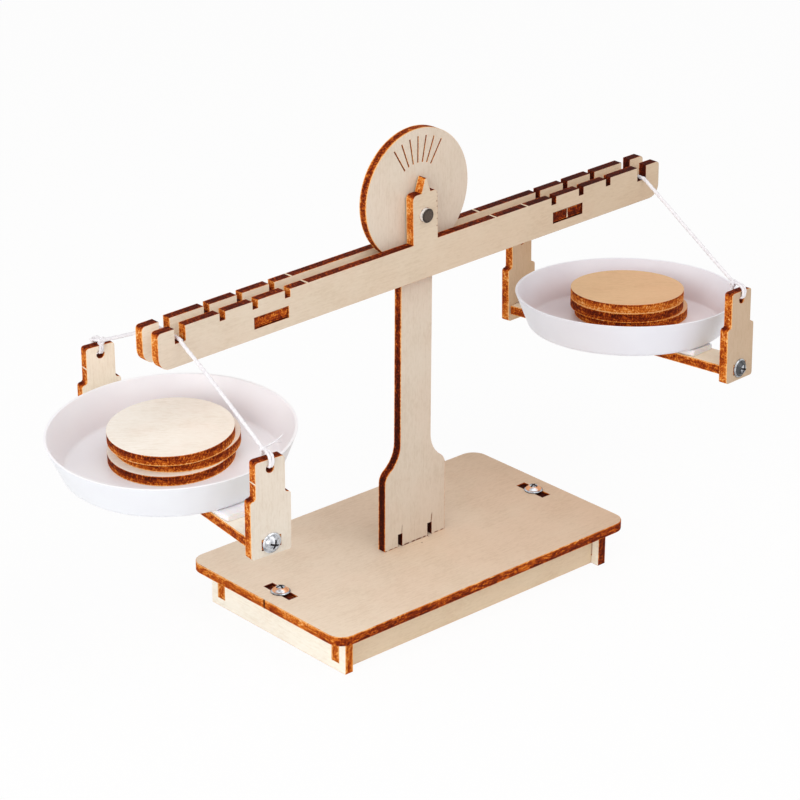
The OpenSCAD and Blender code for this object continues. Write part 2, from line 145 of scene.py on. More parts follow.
board = bpy.data.materials.new("white_board")
board.use_nodes = True
skin = board.node_tree
skin.nodes.clear()
matt = put(skin, "BsdfDiffuse", {"Color": table_white})
glow = put(skin, "Emission", {"Color": (1, 1, 1, 1), "Strength": 1.0})
share = put(skin, "Math", {0: sees_white(skin), 1: table_glow}, operation="MULTIPLY")
blend = put(skin, "MixShader", {0: share.outputs[0], 1: matt.outputs[0], 2: glow.outputs[0]})
put(skin, "OutputMaterial", {"Surface": blend.outputs[0]})
table_corners = [
    (x * table_half, y * table_half, table_depth) for x, y in ((-1, -1), (1, -1), (1, 1), (-1, 1))
]
table_mesh = bpy.data.meshes.new("table")
table_mesh.from_pydata(table_corners, [], [(0, 1, 2, 3)])
table_mesh.materials.append(board)
table = bpy.data.objects.new("table", table_mesh)
scene.collection.objects.link(table)

# The base plate is a rounded rectangle of three-layer birch plywood, cut by laser.
# Its faces stay pale, and every cut edge is scorched from orange to nearly black.
ply = 3.0 * MM
weld_gap = 0.002 * MM
cut_round = 0.16 * MM
cut_sharp = 50
face_depth = 0.49 * ply
# The face darkens from left to right, partly its wood and partly painted shade as the light falls off.
base_tones = ("EDDBC5", "D6BBA0")
base_reach = 60
base_burn = (0.6, 0.48, 0.4, 0.36, 0.3)
base_nick = (-60, -0.8)
# The cuts inside the plate are darker than its outline: their left, right, low and high.
base_slots = (-57.5, 57.5, -32, 32)
base_marks = (((0.7, -4.0, 0.45, 0.3, 0), 0.8), ((5.0, -2.3, 0.3, 0.25, 0), 0.7))
grain_stretch = 0.04
fleck_stretch = 0.35
grain_stops = ((0.36, (0.93, 0.91, 0.885, 1)), (0.5, (1, 1, 1, 1)), (0.64, (1.035, 1.045, 1.06, 1)))
rosy_shade = (1.0, 0.98, 0.975, 1)
scorch_brown = "6E3A1C"
bridge_tone = "EBD5B8"
nick_tone = "3A1206"
burn_places = (0.04, 0.2, 0.5, 0.8, 0.96)
char_level = 1.08
vein_share = 1.1
kerf_share = 0.7
patch_share = 0.5
thread_width = 0.07
lip_start = 0.42
lip_full = 0.12
lip_light = 0.34
char_stops = (
    (0.0, "360E05"), (0.2, "541706"), (0.38, "7C2A0A"), (0.55, "AE4C12"),
    (0.7, "D0701F"), (0.85, "E3913A"), (1.0, "F0BC7E"),
)


def paint(code):
    """Blender's linear RGBA of a colour code."""
    channels = [int(code[i : i + 2], 16) / 255 for i in (0, 2, 4)]
    return (*[c / 12.92 if c < 0.04045 else ((c + 0.055) / 1.055) ** 2.4 for c in channels], 1)


def tinted(colour, red, green, blue):
    """A colour with its three parts scaled."""
    return (colour[0] * red, colour[1] * green, colour[2] * blue, 1)


def finish(name):
    """A new material, as its node tree and its surface shader."""
    material = bpy.data.materials.new(name)
    material.use_nodes = True
    material.node_tree.nodes.clear()
    surface = put(material.node_tree, "BsdfPrincipled")
    put(material.node_tree, "OutputMaterial", {"Surface": surface.outputs[0]})
    return material, material.node_tree, surface


def on_sheet(tree, turn, centre):
    """Place in millimetres on a sheet: X and Y across it, Z through it towards its good face."""
    place = put(tree, "TexCoord").outputs["Object"]
    sockets = {"Vector": place, "Location": centre, "Rotation": turn.to_euler(), "Scale": (MM, MM, MM)}
    return put(tree, "Mapping", sockets, vector_type="TEXTURE").outputs[0]


def scaled(tree, place, along, across, through):
    """The place again, stretched by its own factor each way."""
    return put(tree, "VectorMath", {0: place, 1: (along, across, through)}, operation="MULTIPLY").outputs[0]


def noise(tree, place, scale, detail=3.0, roughness=0.55, bend=0.0):
    """Soft random value round one half."""
    sockets = {"Vector": place, "Scale": scale, "Detail": detail, "Roughness": roughness, "Distortion": bend}
    return put(tree, "TexNoise", sockets).outputs["Fac"]


def calc(tree, operation, a, b=0.0, c=0.0):
    """One step of arithmetic."""
    return put(tree, "Math", {0: a, 1: b, 2: c}, operation=operation).outputs[0]


def gathered(tree, start, parts):
    """A start value plus each part times its weight."""
    total = start
    for part, weight in parts:
        total = calc(tree, "MULTIPLY_ADD", part, weight, total)
    return total


def fade(tree, value, low, high):
    """0 below low and 1 above high, with a soft step between them."""
    sockets = {"Value": value, "From Min": low, "From Max": high}
    return put(tree, "MapRange", sockets, interpolation_type="SMOOTHSTEP").outputs[0]


def mixed(tree, share, a, b, blend="MIX"):
    """Colour a with a share of colour b over it."""
    return put(tree, "Mix", {0: share, 6: a, 7: b}, data_type="RGBA", blend_type=blend).outputs[2]


def ramp(tree, value, stops):
    """Colour looked up along a list of (place, colour)."""
    made = put(tree, "ValToRGB", {"Fac": value})
    points = made.color_ramp.elements
    points[0].position, points[0].color = stops[0]
    points[1].position, points[1].color = stops[-1]
    for place, colour in stops[1:-1]:
        points.new(place).color = colour
    return made.outputs["Color"]


def raised(tree, height, strength, depth):
    """Bump from a height at some strength, over a depth in millimetres."""
    return put(tree, "Bump", {"Height": height, "Strength": strength, "Distance": depth * MM}).outputs[0]


def burn_mark(tree, spot, x, y, half_x, half_y, turned_by):
    """How burnt a small ragged spot on a face is, from 0 to 1."""
    sockets = {
        "Vector": spot, "Location": (x, y, 0), "Rotation": (0, 0, turned_by), "Scale": (half_x, half_y, 1000),
    }
    moved = put(tree, "Mapping", sockets, vector_type="TEXTURE").outputs[0]
    far = put(tree, "VectorMath", {0: moved}, operation="LENGTH").outputs["Value"]
    rag = noise(tree, spot, scale=2.2, detail=3, roughness=0.7)
    ragged = calc(tree, "MULTIPLY_ADD", rag, 1.2, calc(tree, "SUBTRACT", far, 0.6))
    return calc(tree, "SUBTRACT", 1.0, fade(tree, ragged, 0.45, 0.95))


def veneer(name, tones, reach, turn, centre, along_x=True, marks=()):
    """Birch face veneer, from its left tone to its right tone over a reach each way.
    Fine fibres run along the grain, under short mottles and slow rosy clouds.
    Marks are ((x, y, half width, half height, turn), strength)."""
    material, tree, surface = finish(name)
    spot = on_sheet(tree, turn, centre)
    fibre_way = (grain_stretch, 1, 1) if along_x else (1, grain_stretch, 1)
    fleck_way = (fleck_stretch, 1, 1) if along_x else (1, fleck_stretch, 1)
    fibre = noise(tree, scaled(tree, spot, *fibre_way), scale=1.9, detail=5, roughness=0.6)
    ray_fleck = noise(tree, scaled(tree, spot, *fleck_way), scale=1.5, detail=3, roughness=0.7)
    cloud = noise(tree, spot, scale=0.07, detail=2)
    rosy = noise(tree, scaled(tree, spot, 1, 1, 9), scale=0.05, detail=3)
    shade = gathered(tree, -0.2, [(fibre, 0.4), (ray_fleck, 0.6), (cloud, 0.4)])
    across = put(tree, "SeparateXYZ", {0: spot}).outputs["X"]
    way = put(tree, "MapRange", {"Value": across, "From Min": -reach, "From Max": reach}).outputs[0]
    tone = mixed(tree, way, paint(tones[0]), paint(tones[1]))
    tone = mixed(tree, 1.0, tone, ramp(tree, shade, grain_stops), "MULTIPLY")
    tone = mixed(tree, fade(tree, rosy, 0.42, 0.6), tone, rosy_shade, "MULTIPLY")
    for mark, strength in marks:
        burnt = calc(tree, "MULTIPLY", burn_mark(tree, spot, *mark), strength)
        tone = mixed(tree, burnt, tone, paint(scorch_brown))
    height = gathered(tree, 0.0, [(fibre, 0.6), (ray_fleck, 0.4)])
    fill(tree, surface, {
        "Base Color": tone, "Roughness": 0.62, "Specular IOR Level": 0.25,
        "Normal": raised(tree, height, strength=0.16, depth=0.05),
    })
    return material


def facing(tree, way):
    """How squarely a surface faces a way, from -1 to 1."""
    normal = put(tree, "TexCoord").outputs["Normal"]
    return put(tree, "VectorMath", {0: normal, 1: way}, operation="DOT_PRODUCT").outputs["Value"]


def within(tree, value, low, high):
    """1 where a value lies between low and high, and 0 elsewhere."""
    away = calc(tree, "ABSOLUTE", calc(tree, "SUBTRACT", value, (low + high) / 2))
    return calc(tree, "LESS_THAN", away, (high - low) / 2)


def scorched(
    name, turn, centre, burn, up_shade=0.3, front_shade=0.0, end_shade=0.0, way="X", reach=(0, 60),
    streaks=0.8, drawn=1.0, bridges=(), bridge=bridge_tone, bridge_r=0.32, dark_boxes=(), dark=0.4,
):
    """Laser-cut edge: bent dark veins and long streaks on an orange char, with fine kerf lines through it.
    Burn is how dark it is at five places from the back lip to the good face's lip. Painted shade is added
    on what faces up and on what faces the front, each by its own share, and by a third share over a reach
    along one way of the sheet, but the thin lips stay lighter. Drawn below one stretches the veins along the
    edge. Bridges are the points where the piece was snapped out of its sheet. What lies in the dark boxes,
    each given by its left, right, low and high sides, is darker."""
    material, tree, surface = finish(name)
    spot = on_sheet(tree, turn, centre)
    apart = put(tree, "SeparateXYZ", {0: spot}).outputs
    half = ply / 2 / MM
    depth = put(tree, "MapRange", {"Value": apart["Z"], "From Min": -half, "From Max": half}).outputs[0]
    wave = noise(tree, spot, scale=0.7, detail=2)
    depth = gathered(tree, -0.06, [(depth, 1.0), (wave, 0.12)])
    layer = ramp(tree, depth, [(place, (grey, grey, grey, 1)) for place, grey in zip(burn_places, burn)])
    vein = noise(tree, scaled(tree, spot, drawn, drawn, 0.8), scale=1.15, detail=3, roughness=0.6, bend=1.4)
    thread = calc(tree, "ABSOLUTE", calc(tree, "SUBTRACT", vein, 0.5))
    thread = calc(tree, "SUBTRACT", 1.0, fade(tree, thread, 0.0, thread_width))
    streak = noise(tree, scaled(tree, spot, 0.3, 0.3, 2.4), scale=1.0, detail=4, roughness=0.65)
    slanted = put(tree, "Mapping", {"Vector": spot, "Rotation": (0.35, -0.35, 0)}).outputs[0]
    kerf = noise(tree, scaled(tree, slanted, 2.6, 2.6, 0.3), scale=1.0, detail=3, roughness=0.6)
    patch = noise(tree, spot, scale=0.16, detail=2)
    speck = fade(tree, noise(tree, spot, scale=2.6, detail=2, roughness=0.6), 0.6, 0.68)
    # Painted shade: edges that face up or the front, and those towards one end of the sheet, are darkened.
    upward = fade(tree, facing(tree, (0, 0, 1)), 0.3, 0.95)
    frontward = fade(tree, facing(tree, (0, -1, 0)), 0.3, 0.95)
    endward = fade(tree, apart[way], *reach)
    endward = calc(tree, "MULTIPLY", endward, calc(tree, "MULTIPLY_ADD", upward, -0.6, 1.0))
    lip = fade(tree, calc(tree, "ABSOLUTE", apart["Z"]), half - lip_start, half - lip_full)
    start = char_level - 0.5 * (vein_share + streaks + kerf_share + patch_share)
    level = gathered(tree, start, [
        (layer, -1.0), (vein, vein_share), (streak, streaks), (kerf, kerf_share), (patch, patch_share),
        (thread, -0.16), (speck, -0.2), (upward, -up_shade), (frontward, -front_shade),
        (endward, -end_shade), (lip, lip_light),
    ])
    for x_low, x_high, y_low, y_high in dark_boxes:
        in_x = within(tree, apart["X"], x_low, x_high)
        in_y = within(tree, apart["Y"], y_low, y_high)
        level = calc(tree, "MULTIPLY_ADD", calc(tree, "MULTIPLY", in_x, in_y), -dark, level)
    colour = ramp(tree, level, [(place, paint(code)) for place, code in char_stops])
    for place in bridges:
        flat = scaled(tree, spot, 1, 1, 0)
        far = put(tree, "VectorMath", {0: flat, 1: (*place, 0)}, operation="DISTANCE").outputs["Value"]
        near = calc(tree, "LESS_THAN", gathered(tree, -0.2, [(far, 1.0), (wave, 0.4)]), bridge_r)
        colour = mixed(tree, near, colour, paint(bridge))
    relief = gathered(tree, 0.0, [(kerf, 0.6), (vein, 0.6)])
    fill(tree, surface, {
        "Base Color": colour, "Roughness": 0.8, "Specular IOR Level": 0.08,
        "Normal": raised(tree, relief, strength=0.45, depth=0.14),
    })
    return material


def turned(good, along):
    """Rotation whose Z is a sheet's good side and whose X lies along it."""
    z = Vector(good).normalized()
    y = z.cross(Vector(along)).normalized()
    return Matrix((y.cross(z), y, z)).transposed()


def middle(node, good):
    """Centre of a node's box, moved to half the sheet's thickness."""
    low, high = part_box(node)
    good = Vector(good).normalized()
    depths = [corner.co.dot(good) for corner in nodes[node].data.vertices]
    centre = (low + high) / 2
    return centre + good * ((min(depths) + max(depths)) / 2 - centre.dot(good))


def soften(piece, width, sharp):
    """Closes a piece's mesh, and rounds the edges that turn by more than some degrees."""
    weld = piece.modifiers.new("weld", "WELD")
    weld.merge_threshold = weld_gap
    bevel = piece.modifiers.new("rounded_edges", "BEVEL")
    bevel.width = width
    bevel.segments = 2
    bevel.limit_method = "ANGLE"
    bevel.angle_limit = math.radians(sharp)
    normals = piece.modifiers.new("smooth", "WEIGHTED_NORMAL")
    normals.keep_sharp = True
    return bevel


def dress_sheet(node, turn, centre, face, edge):
    """Gives a sheet its face and edge materials, and breaks its sharp cut edges by a hair."""
    sheet = nodes[node]
    good = turn @ Vector((0, 0, 1))
    sheet.data.materials.clear()
    sheet.data.materials.append(face)
    sheet.data.materials.append(edge)
    for side in sheet.data.polygons:
        off = abs((side.center - centre).dot(good))
        outer = abs(side.normal.dot(good)) > 0.9 and off > face_depth
        side.material_index = 0 if outer else 1
    bevel = soften(sheet, cut_round, cut_sharp)
    bevel.material = 1
    return sheet


lying = turned((0, 0, 1), (1, 0, 0))
plate_middle = middle("base_plate", (0, 0, 1))
dress_sheet(
    "base_plate", lying, plate_middle,
    veneer("base_plate_face", base_tones, base_reach, lying, plate_middle, marks=base_marks),
    scorched(
        "base_plate_edge", lying, plate_middle, base_burn, front_shade=0.2, drawn=0.22,
        bridges=(base_nick,), bridge=nick_tone, dark_boxes=(base_slots,),
    ),
)

# Four low panels of the same plywood stand under the plate. The end panels reach up through slots
# in it with a tab, and the long panels lie in open notches of the end panels.
# The end panels are paler than the long panels, partly their wood and partly painted light from the left.
end_tones = ("FAF5E8", "FAF5E8")
long_tones = ("E7D4B9", "E4D0B4")
panel_reach = 50
panel_burn = (0.4, 0.4, 0.45, 0.4, 0.3)
far_panel_burn = (0.8, 0.7, 0.75, 0.8, 0.9)

for node, good, along, tones, burn in (
    ("left_end_panel", (-1, 0, 0), (0, 1, 0), end_tones, panel_burn),
    ("right_end_panel", (1, 0, 0), (0, 1, 0), end_tones, far_panel_burn),
    ("front_panel", (0, -1, 0), (1, 0, 0), long_tones, panel_burn),
    ("back_panel", (0, 1, 0), (1, 0, 0), long_tones, panel_burn),
):
    turn = turned(good, along)
    centre = middle(node, good)
    dress_sheet(
        node, turn, centre, veneer(node + "_face", tones, panel_reach, turn, centre),
        scorched(node + "_edge", turn, centre, burn, up_shade=0.45),
    )

# Zinc-plated screws with a washer under a rounded head hold the plate on the end panels.
# They are driven down between the two halves of each tab, and the flange rubs the wood under it.
zinc = "CDD1D6"
# The washers' flanges carry a painted reflection of the orange wood round them.
washer_wood_reflection = "E0A276"
# The bottom of each screw's cross recess is painted nearly black, as painted shade.
recess_shade_black = "3A3637"
base_screw_out = 52.9
plate_top = 15
flange_t = 0.6 * MM
cross_reach = 1.42 * MM
knob_r = 1.35 * MM
hair = 0.05 * MM
metal_round = 0.06 * MM
metal_sharp = 30
# Painted highlights: the way the lamps are painted as shining from, and the light and dark bands painted on
# plating by how squarely it faces that way.
painted_highlight_way = Vector((-0.45, -0.4, 0.8)).normalized()
# The way a face must turn to show plating instead of the painted reflection of the wood.
wood_reflection_way = Vector((-0.62, -0.62, 0.2)).normalized()
painted_highlight_stops = (
    (0.0, (0.3, 0.3, 0.31, 1)), (0.35, (0.12, 0.12, 0.13, 1)), (0.52, (0.9, 0.9, 0.9, 1)),
    (0.66, (0.25, 0.25, 0.27, 1)), (0.76, (0.12, 0.12, 0.13, 1)), (0.86, (0.7, 0.7, 0.71, 1)),
    (0.93, (1, 1, 1, 1)), (1.0, (0.8, 0.8, 0.8, 1)),
)


def in_mm(tree):
    """Place on a piece, in millimetres."""
    return scaled(tree, put(tree, "TexCoord").outputs["Object"], 1 / MM, 1 / MM, 1 / MM)


def plated(name, tone, low_rough=0.1, high_rough=0.3, highlight_bands=None, glow=None, metallic=1.0):
    """Bright plating, a little uneven, with dull spots where the driver slipped.
    Its optional bands are painted highlights and painted shade, from what faces away from the lamps to what
    faces them.
    An optional glow tone is a painted reflection of the wood round it, painted on what doesn't face the left
    front."""
    material, tree, surface = finish(name)
    cloud = noise(tree, in_mm(tree), scale=1.3, detail=4, roughness=0.6, bend=0.6)
    colour = ramp(tree, cloud, [(0.36, tinted(paint(tone), 0.5, 0.51, 0.53)), (0.55, paint(tone))])
    if highlight_bands:
        # Painted highlight and shade bands, by how squarely the surface faces the lamps.
        band = calc(tree, "MULTIPLY_ADD", facing(tree, painted_highlight_way), 0.5, 0.5)
        colour = mixed(tree, 1.0, colour, ramp(tree, band, highlight_bands), "MULTIPLY")
    # Painted reflection of the wood on what turns away from the left front.
    if glow:
        lit_side = fade(tree, facing(tree, wood_reflection_way), 0.62, 0.86)
        colour = mixed(tree, lit_side, paint(glow), colour)
    rough = put(tree, "MapRange", {"Value": cloud, "To Min": low_rough, "To Max": high_rough}).outputs[0]
    fill(tree, surface, {
        "Base Color": colour, "Roughness": rough, "Metallic": metallic,
        "Normal": raised(tree, cloud, strength=0.35, depth=0.12),
    })
    return material


def painted_shade_fill(name, tone):
    """Nearly black painted shade in the bottom of a recess."""
    material, tree, surface = finish(name)
    cloud = noise(tree, in_mm(tree), scale=3.0, detail=3, roughness=0.6)
    colour = ramp(tree, cloud, [(0.35, paint(tone)), (0.7, tinted(paint(tone), 3.0, 3.0, 3.2))])
    fill(tree, surface, {"Base Color": colour, "Roughness": 0.5, "Metallic": 0.4})
    return material


def dress_solid(node, materials, pick, width=metal_round, sharp=metal_sharp):
    """Gives a solid piece its materials, picked face by face, and rounds its edges."""
    piece = nodes[node]
    piece.data.materials.clear()
    for material in materials:
        piece.data.materials.append(material)
    for side in piece.data.polygons:
        side.material_index = pick(side)
    soften(piece, width, sharp)


zinc_plating = plated("zinc_plating", zinc, highlight_bands=painted_highlight_stops)
washer_plating = plated("washer_plating", zinc, low_rough=0.3, high_rough=0.45, glow=washer_wood_reflection)
# Painted shade for the cross recesses.
painted_recess_shade = painted_shade_fill("painted_recess_shade", recess_shade_black)
base_screw_finishes = (zinc_plating, washer_plating, painted_recess_shade)


def screw_part(side, seats):
    """0 for the knob and rim, 1 for the flange's top, 2 for the cross recess; seats are (place, way out)."""
    seat, out = min(seats, key=lambda one: (side.center - one[0]).length)
    off = side.center - seat
    height = off.dot(out)
    reach = (off - out * height).length
    if reach > knob_r and height > flange_t - hair:
        return 1
    inward = (off - out * height).dot(side.normal) < 0 or abs(side.normal.dot(out)) > 0.98
    return 2 if height > flange_t + hair and reach < cross_reach and inward else 0


base_seats = [(Vector((x, 0, plate_top)) * MM, Vector((0, 0, 1))) for x in (-base_screw_out, base_screw_out)]
dress_solid("base_screws", base_screw_finishes, lambda side: screw_part(side, base_seats))

# The post is one plywood sheet: a tenon through the base plate, a foot, a neck and the round dial.
# Seven short lines are burnt into the dial for the pointer, each with a darker dot where the laser started.
post_tones = ("DACDBC", "D3C3B1")
post_reach = 20
post_burn = (0.2, 0.58, 0.68, 0.58, 0.22)
# The slits beside the tenon and the walls of the lines are darkest: left, right, low and high of each.
post_dark = ((-7.4, 7.4, 0, 22), (-11.3, 11.3, 136, 143.5), (-6.5, 6.5, 143.5, 147))
slit_top = 20.6
# Smoke marks on the foot over its slits, and a broken line of soot where it stands on the plate.
slit_streaks = ((6.9, 2.6, -0.12, 0.9), (-5.4, 2.4, -0.08, 0.5))
streak_width = 0.28
soot_height = 15.1
soot_width = 0.3
soot_strength = 0.95
soot_dashes = (
    (-12.2, 1.2), (-9.9, 1.4), (-8.0, 1.0), (-3.4, 1.5), (-0.6, 1.0), (1.6, 1.7), (4.0, 0.9), (9.0, 1.2),
    (11.4, 0.9),
)
tick_brown = "644031"
tick_dark = "3A1A0E"
dial_middle = Vector((0, -1.5, 128.5)) * MM
tick_in = 9 * MM
tick_out = 17.8 * MM
tick_end = 19 * MM
tick_skin = 0.0005 * MM
tick_floor = 0.5 * MM

standing = turned((0, -1, 0), (1, 0, 0))
post_middle = middle("post", (0, -1, 0))
post_mm = post_middle / MM
post_marks = []
for x, long, lean, strength in slit_streaks:
    post_marks.append(((x - post_mm.x, slit_top - post_mm.z, streak_width, long, lean), strength))
for x, long in soot_dashes:
    post_marks.append(((x - post_mm.x, soot_height - post_mm.z, long, soot_width, 0), soot_strength))
post_boxes = [(a - post_mm.x, b - post_mm.x, c - post_mm.z, d - post_mm.z) for a, b, c, d in post_dark]
# The post's edges are given painted shade towards its foot.
post_sheet = dress_sheet(
    "post", standing, post_middle,
    veneer("post_face", post_tones, post_reach, standing, post_middle, along_x=False, marks=post_marks),
    scorched(
        "post_edge", standing, post_middle, post_burn, up_shade=0.0, end_shade=0.38, way="Y", reach=(30, -40),
        dark_boxes=post_boxes,
    ),
)


def burnt_line(name):
    """Shallow laser line: brown, uneven, and darkest at its outer end."""
    material, tree, surface = finish(name)
    place = put(tree, "TexCoord").outputs["Object"]
    off = put(tree, "VectorMath", {0: place, 1: dial_middle}, operation="DISTANCE").outputs["Value"]
    outward = fade(tree, off, tick_out - 1.0 * MM, tick_out - 0.3 * MM)
    cloud = noise(tree, in_mm(tree), scale=1.8, detail=3)
    level = gathered(tree, -0.5, [(outward, -0.8), (cloud, 2.0)])
    colour = ramp(tree, level, [(0.0, paint(tick_dark)), (0.9, paint(tick_brown))])
    fill(tree, surface, {"Base Color": colour, "Roughness": 0.8})
    return material


post_sheet.data.materials.append(burnt_line("burnt_line"))
for side in post_sheet.data.polygons:
    away = side.center - dial_middle
    on_dial = tick_in < math.hypot(away.x, away.z) < tick_end and away.z > 0
    if side.material_index == 1 and on_dial and tick_skin < away.y < tick_floor:
        side.material_index = 2

# The axle is a plain steel pin. The post grips it, and the beam turns on it.
# Its turned side is bright, and its sawn ends have a dull brown-grey skin.
pin_bright = "F2F3F5"
pin_end = "51453D"
pin_rim = (1.3, 2.1)
pivot = Vector(joints["beam_tilt"]["pos_m"])


def sawn_end(name):
    """Dull end of a steel pin, with scratches from the saw and a darker rim."""
    material, tree, surface = finish(name)
    place = put(tree, "TexCoord").outputs["Object"]
    flat = put(tree, "VectorMath", {0: place, 1: pivot}, operation="SUBTRACT").outputs[0]
    flat = scaled(tree, flat, 1 / MM, 0, 1 / MM)
    far = put(tree, "VectorMath", {0: flat}, operation="LENGTH").outputs["Value"]
    scratch = noise(tree, scaled(tree, flat, 2.4, 1, 0.7), scale=2.0, detail=4, roughness=0.65, bend=0.8)
    level = gathered(tree, 0.0, [(scratch, 1.0), (fade(tree, far, *pin_rim), -0.32)])
    tone = paint(pin_end)
    stops = ((0.1, tinted(tone, 0.25, 0.25, 0.25)), (0.5, tone), (0.75, tinted(tone, 1.6, 1.5, 1.5)))
    fill(tree, surface, {
        "Base Color": ramp(tree, level, stops), "Roughness": 0.55, "Metallic": 0.55,
        "Normal": raised(tree, scratch, strength=0.3, depth=0.06),
    })
    return material


pin_finishes = (
    plated("pin_steel", pin_bright, low_rough=0.08, high_rough=0.2, metallic=0.4),
    sawn_end("pin_end"),
)
dress_solid("axle_pin", pin_finishes, lambda side: 1 if abs(side.normal.y) > 0.5 else 0)

# The beam is two equal plywood plates, one on each side of the post. Each has a hub with a pointer,
# a deep notch near each end for a cord, and three shallow notches on each arm.
beam_lean = math.radians(1.3)
# The plates darken towards the right, partly their wood and partly painted shade as the light falls off.
beam_tones = ("DDCEBA", "CDB69B")
# The back plate is painted lighter, as painted light where the front plate shades it.
back_plate_lit_tones = ("F4E6D3", "E4CEB2")
beam_reach = 100
front_plate_burn = (0.3, 0.3, 0.3, 0.36, 0.5)
back_plate_burn = (0.36, 0.38, 0.36, 0.34, 0.34)
beam_top = -8.5
front_bridges = tuple((u, beam_top) for u in (-45.8, 28.8, 42.1))
back_bridges = tuple((u, beam_top) for u in (-45.9, 28.3))
speck_u = 4.7
speck_half = (0.26, 0.36)
speck_strength = 0.7
hub_specks = tuple(
    ((speck_u + shift, v, *speck_half, 0), speck_strength)
    for shift, v in ((0, 5.9), (0.1, 4.6), (-0.1, 3.2), (0, 1.4), (0.1, -0.6), (0, -2.4), (-0.1, -4.6))
)
along_beam = Vector((math.cos(beam_lean), 0, math.sin(beam_lean)))
front_way = (0, -1, 0)
turn = turned(front_way, along_beam)
# The plates' edges are given painted shade on top and towards the right end.
for node, tones, burn, bridges, marks in (
    ("front_beam_plate", beam_tones, front_plate_burn, front_bridges, hub_specks),
    ("back_beam_plate", back_plate_lit_tones, back_plate_burn, back_bridges, ()),
):
    centre = Vector((pivot.x, middle(node, front_way).y, pivot.z))
    dress_sheet(
        node, turn, centre, veneer(node + "_face", tones, beam_reach, turn, centre, marks=marks),
        scorched(node + "_edge", turn, centre, burn, up_shade=0.46, end_shade=0.56, bridges=bridges),
    )

# Two flat cross pieces of the same plywood hold the beam's plates apart.
# Their ends are pushed through a window in each plate, where they show end on.
left_spacer_burn = (0.9, 0.55, 0.5, 0.55, 0.9)
right_spacer_burn = (0.9, 0.8, 0.8, 0.8, 0.9)
spacer_bridges = ((0, -4.7), (0, 4.7))
beam_up = (-math.sin(beam_lean), 0, math.cos(beam_lean))
turn = turned(beam_up, along_beam)
for node, burn, bridges in (
    ("left_spacer", left_spacer_burn, ()),
    ("right_spacer", right_spacer_burn, spacer_bridges),
):
    centre = middle(node, beam_up)
    dress_sheet(
        node, turn, centre, veneer(node + "_face", beam_tones, beam_reach, turn, centre),
        scorched(node + "_edge", turn, centre, burn, up_shade=0.2, bridges=bridges, bridge_r=0.16),
    )

# Each pan hangs in a plywood frame: two hangers stand on the ends of a flat crossbar.
# The whole frame hangs from the cord by the holes at the tops of its hangers.
# The right frame's hangers are darker than the left's, partly their wood and partly painted shade.
hanger_tones = {"left": ("DDD3C4", "DDD3C4"), "right": ("C8B096", "C5AC90")}
back_hanger_tones = {"left": ("FAEFDB", "FAEFDB"), "right": ("D8BEA0", "D0AF8A")}
# The crossbars are painted lighter than the hangers, as painted light where the pans shade them.
bar_lit_tones = {"left": ("FBF3E4", "F8F0E0"), "right": ("FAEAD2", "F8E6CC")}
hanger_reach = 8
bar_reach = 50
hanger_burn = (0.62, 0.46, 0.42, 0.36, 0.28)
bar_burn = (0.5, 0.55, 0.55, 0.45, 0.3)
hanger_bridges = {"left": ((-4.75, 22.7),), "right": ()}
screw_slot = (-4.6, 4.6, 1.4, 6.4)
pan_lean = {"left": -2.0, "right": 0.9}
hole_rise = 26.5 * MM
hanger_out = 44.85 * MM
bar_middle = 3.8 * MM


def hung(side):
    """A pan frame at rest: its way across, along its crossbar and up, and the zero under its holes."""
    along = Vector(joints[side + "_pan_rock"]["axis"]).normalized()
    leaned = Vector(joints[side + "_bottom_disc_lift"]["axis"]).normalized()
    lift = Matrix.Rotation(math.radians(-pan_lean[side]), 3, along) @ leaned
    across = along.cross(lift).normalized()
    return across, along, lift, Vector(joints[side + "_pan_rock"]["pos_m"]) - lift * hole_rise


for side in ("left", "right"):
    across, along, lift, zero = hung(side)
    turn = turned(-along, across)
    for node, end, tones in (
        (side + "_front_hanger", -1, hanger_tones[side]),
        (side + "_back_hanger", 1, back_hanger_tones[side]),
    ):
        centre = zero + along * end * hanger_out
        dress_sheet(
            node, turn, centre,
            veneer(node + "_face", tones, hanger_reach, turn, centre, along_x=False),
            scorched(
                node + "_edge", turn, centre, hanger_burn, up_shade=0.32, bridges=hanger_bridges[side],
                bridge_r=0.2, dark_boxes=(screw_slot,), dark=0.5,
            ),
        )
    node = side + "_crossbar"
    turn = turned(lift, along)
    centre = zero + lift * bar_middle
    dress_sheet(
        node, turn, centre, veneer(node + "_face", bar_lit_tones[side], bar_reach, turn, centre),
        scorched(node + "_edge", turn, centre, bar_burn, up_shade=0.2),
    )

# The same washer-head screws go through the hangers' slots into the ends of the crossbars.
# Those at the left are painted bright, and those at the right are painted darker as painted shade, most on
# their flanges.
hanger_seat = 46.35 * MM
head_shade = {"left": "E4E6EA", "right": "C2C4C8"}
flange_shade = {"left": "C4C6CA", "right": "4E4F52"}
# Painted highlight and shade bands on the hanger screws' heads.
hanger_painted_highlights = (
    (0.0, (0.16, 0.16, 0.17, 1)), (0.4, (0.3, 0.3, 0.31, 1)), (0.55, (0.95, 0.95, 0.95, 1)),
    (0.7, (0.55, 0.55, 0.56, 1)), (0.85, (1, 1, 1, 1)),
)
for side in ("left", "right"):
    across, along, lift, zero = hung(side)
    seats = [(zero + lift * bar_middle + along * end * hanger_seat, along * end) for end in (-1, 1)]
    finishes = (
        plated(side + "_head_plating", head_shade[side], highlight_bands=hanger_painted_highlights, metallic=0.7),
        plated(side + "_flange_plating", flange_shade[side], metallic=0.7),
        painted_recess_shade,
    )
    dress_solid(side + "_hanger_screws", finishes, lambda face: screw_part(face, seats))

